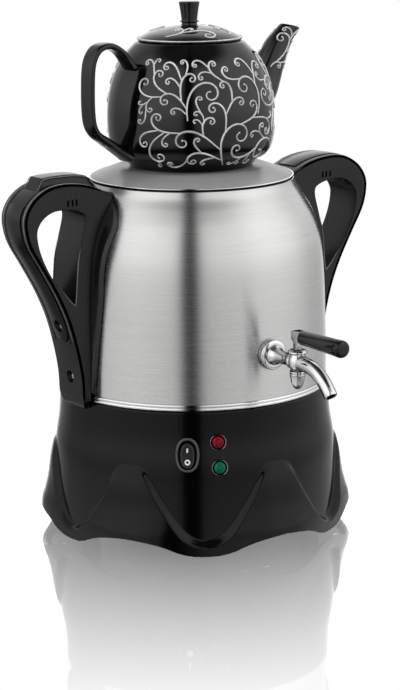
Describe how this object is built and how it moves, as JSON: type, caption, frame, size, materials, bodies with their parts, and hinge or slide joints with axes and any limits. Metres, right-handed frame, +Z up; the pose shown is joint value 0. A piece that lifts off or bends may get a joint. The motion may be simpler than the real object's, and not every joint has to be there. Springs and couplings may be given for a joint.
{
  "type": "electric samovar",
  "caption": "Electric tea urn with a plug tap, a scalloped base, two loop handles and a rocker switch, carrying a lidded teapot that stays warm on its lid.",
  "frame": {"origin": "middle of the part's footprint box on the surface that its rubber feet stand on; the urn's vertical axis stands 36.65 mm behind it, at x 0, y +36.65 mm, because the tap's handle reaches forward", "axes": "+Z up along the urn's axis; the tap points along -Y, so -Y is the front; +X is to the right for someone who faces the tap, towards the teapot's spout, and the teapot's handle is towards -X"},
  "size_m": [0.3366, 0.333, 0.4316],
  "materials": {
    "brushed_steel": "satin brushed round the urn, light reflections",
    "chrome": "polished",
    "gloss_black": "high gloss moulded",
    "satin_black": "satin moulded",
    "black_ceramic": "glazed ceramic, here with silver vine scrollwork",
    "black_rubber": "matte moulded",
    "white_silicone": "smooth",
    "white_plastic": "smooth moulded",
    "red_lens": "clear tinted lens",
    "green_lens": "clear tinted lens",
    "cast_aluminium": "as cast",
    "zinc_steel": "zinc plated",
    "brass": "machined"
  },
  "bodies": {
    "urn": {"base_housing": "gloss_black", "bottom_cover": "satin_black", "cover_screw_1": "zinc_steel", "cover_screw_2": "zinc_steel", "cover_screw_3": "zinc_steel", "rubber_foot_1": "black_rubber", "rubber_foot_2": "black_rubber", "rubber_foot_3": "black_rubber", "rubber_foot_4": "black_rubber", "rubber_foot_5": "black_rubber", "rubber_foot_6": "black_rubber", "trim_ring": "chrome", "switch_bezel": "satin_black", "red_lamp_lens": "red_lens", "red_lamp_nut": "satin_black", "green_lamp_lens": "green_lens", "green_lamp_nut": "satin_black", "inlet_socket": "satin_black", "inlet_pin_line": "brass", "inlet_pin_earth": "brass", "inlet_pin_neutral": "brass", "heat_plate": "cast_aluminium", "heating_element": "zinc_steel", "thermostat_boil": "satin_black", "thermostat_keep_warm": "satin_black", "thermal_cutout": "satin_black", "tie_rod": "zinc_steel", "tie_nut": "zinc_steel", "terminal_block": "white_plastic", "urn_shell": "brushed_steel", "handle_frame_left": "satin_black", "handle_frame_right": "satin_black", "handle_cover_left": "satin_black", "handle_cover_right": "satin_black", "handle_saddle_left": "satin_black", "handle_saddle_right": "satin_black", "handle_screw_upper_left": "chrome", "handle_screw_upper_right": "chrome", "handle_screw_lower_left": "chrome", "handle_screw_lower_right": "chrome", "tap_outer_gasket": "white_silicone", "tap_flange": "chrome", "tap_inner_washer": "white_silicone", "tap_nut": "brass", "tap_body": "chrome", "tap_bonnet": "chrome", "tap_cap": "chrome"},
    "rocker": {"switch_rocker": "satin_black"},
    "lid": {"urn_lid": "brushed_steel"},
    "teapot": {"teapot_body": "black_ceramic"},
    "teapot_lid": {"teapot_lid": "black_ceramic"},
    "tap_handle": {"tap_plug": "brass", "tap_lever": "chrome", "tap_grip": "satin_black"},
    "button": {"lid_release_button": "satin_black"}
  },
  "joints": [
    {"name": "rocker_tilt", "type": "hinge", "parent": "urn", "child": "rocker", "pos_m": [-0.06747, -0.05354, 0.08455], "axis": [-0.8007, 0.599, 0], "range_deg": [0, 16]},
    {"name": "tap_turn", "type": "hinge", "parent": "urn", "child": "tap_handle", "pos_m": [0, -0.10835, 0.1605], "axis": [0, 0, 1], "range_deg": [-90, 90]},
    {"name": "lid_lift", "type": "slide", "parent": "urn", "child": "lid", "axis": [0, 0, 1], "range_m": [0, 0.12]},
    {"name": "teapot_lift", "type": "slide", "parent": "lid", "child": "teapot", "axis": [0, 0, 1], "range_m": [0, 0.15]},
    {"name": "teapot_lid_lift", "type": "slide", "parent": "teapot", "child": "teapot_lid", "axis": [0, 0, 1], "range_m": [0, 0.06]},
    {"name": "button_press", "type": "slide", "parent": "urn", "child": "button", "axis": [0, 0, -1], "range_m": [0, 0.0025], "stiffness_N_per_m": 800, "springref_m": -0.002}
  ]
}
